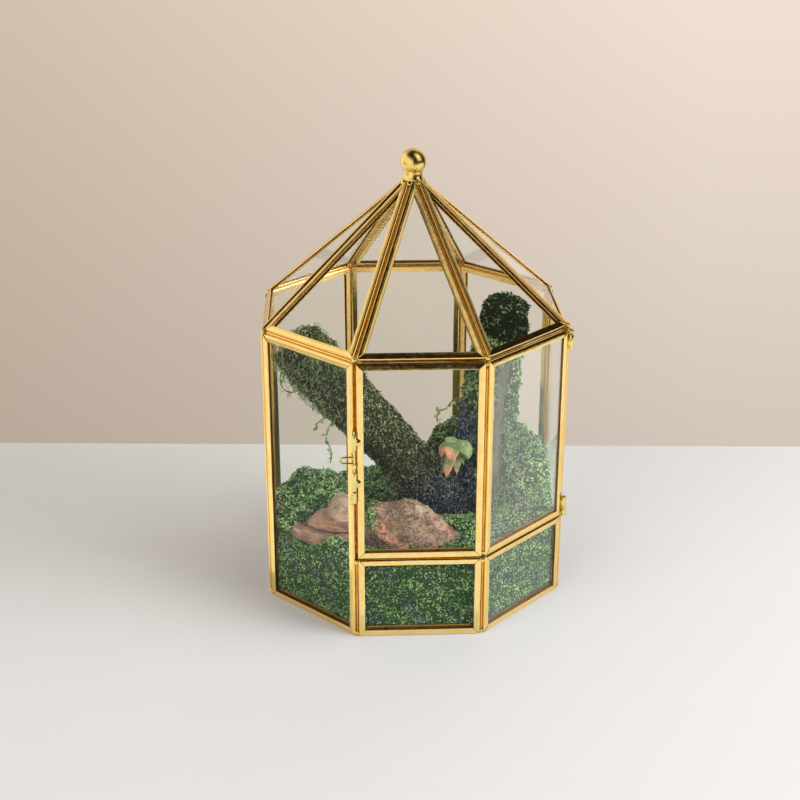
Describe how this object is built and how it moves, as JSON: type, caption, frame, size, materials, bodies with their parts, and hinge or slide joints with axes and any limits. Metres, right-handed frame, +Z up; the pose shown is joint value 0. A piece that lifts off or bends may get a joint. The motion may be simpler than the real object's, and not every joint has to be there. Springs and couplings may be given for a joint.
{
  "type": "glass plant terrarium",
  "caption": "Eight-sided brass and glass house with a pointed roof and a hinged corner door, planted with moss, driftwood, stones and a succulent.",
  "frame": {"origin": "middle of the underside", "axes": "+Z up, front of the case and its door towards -Y, hinge on the right"},
  "size_m": [0.2398, 0.2385, 0.3562],
  "materials": {
    "brass": "bright lacquered brass sheet, folded and soldered",
    "glass": "clear 2 mm sheet",
    "floor_moss": "dense curly moss, matt",
    "branch_moss": "thin brown-green moss, matt",
    "trunk_moss": "dark hairy moss, matt",
    "crown_moss": "dark leafy moss, matt",
    "driftwood": "weathered grey-brown wood, matt",
    "stone": "layered red-brown stone, matt",
    "succulent": "waxy green leaves with salmon-pink tips"
  },
  "bodies": {
    "case": {"branch_moss": "branch_moss", "crown_moss": "crown_moss", "driftwood": "driftwood", "finial_ball": "brass", "finial_collar": "brass", "floor_came": "brass", "floor_glass": "glass", "hinge_pin_lower": "brass", "hinge_pin_upper": "brass", "latch_keeper": "brass", "moss_bed": "floor_moss", "roof_back_came": "brass", "roof_back_glass": "glass", "roof_back_left_came": "brass", "roof_back_left_glass": "glass", "roof_back_right_came": "brass", "roof_back_right_glass": "glass", "roof_front_came": "brass", "roof_front_glass": "glass", "roof_front_left_came": "brass", "roof_front_left_glass": "glass", "roof_front_right_came": "brass", "roof_front_right_glass": "glass", "roof_left_came": "brass", "roof_left_glass": "glass", "roof_right_came": "brass", "roof_right_glass": "glass", "sill_front_came": "brass", "sill_front_glass": "glass", "sill_front_right_came": "brass", "sill_front_right_glass": "glass", "stone_block": "stone", "stone_slab_lower": "stone", "stone_slab_upper": "stone", "succulent": "succulent", "trunk_moss": "trunk_moss", "wall_back_came": "brass", "wall_back_glass": "glass", "wall_back_left_came": "brass", "wall_back_left_glass": "glass", "wall_back_right_came": "brass", "wall_back_right_glass": "glass", "wall_front_left_came": "brass", "wall_front_left_glass": "glass", "wall_left_came": "brass", "wall_left_glass": "glass", "wall_right_came": "brass", "wall_right_glass": "glass"},
    "door": {"door_front_came": "brass", "door_front_glass": "glass", "door_front_right_came": "brass", "door_front_right_glass": "glass", "hinge_tube_lower": "brass", "hinge_tube_upper": "brass", "latch_guide_lower": "brass", "latch_guide_upper": "brass"},
    "bolt": {"latch_bolt": "brass"}
  },
  "joints": [
    {"name": "door_swing", "type": "hinge", "parent": "case", "child": "door", "pos_m": [0.11936, -0.04944, 0.15], "axis": [0, 0, 1], "range_deg": [0, 110]},
    {"name": "bolt_slide", "type": "slide", "parent": "door", "child": "bolt", "axis": [0, 0, 1], "range_m": [-0.0032, 0.0048]}
  ]
}
